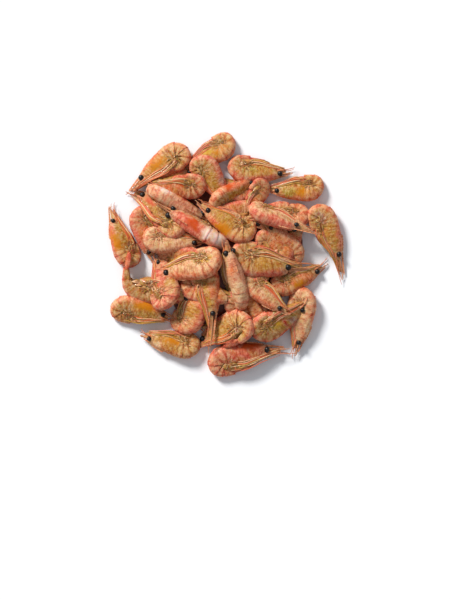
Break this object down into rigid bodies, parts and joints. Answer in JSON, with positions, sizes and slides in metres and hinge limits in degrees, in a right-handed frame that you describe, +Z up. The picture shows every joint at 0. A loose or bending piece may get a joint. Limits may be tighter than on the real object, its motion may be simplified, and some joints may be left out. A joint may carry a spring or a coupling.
{
  "type": "heap of cooked northern shrimps",
  "caption": "Loose heap of whole cooked pink shrimps in their shells, curled and lying over one another.",
  "frame": {"origin": "middle of the heap's box, on the surface that carries it", "axes": "+Z up; +X and +Y are right and up in the picture, which looks straight down"},
  "size_m": [0.203, 0.2067, 0.0338],
  "materials": {
    "shell": "wet translucent cooked shell",
    "legs": "wet thin cooked legs",
    "eye": "glossy black"
  },
  "bodies": {
    "root": {"shrimp_heap": "shell"}
  },
  "joints": []
}
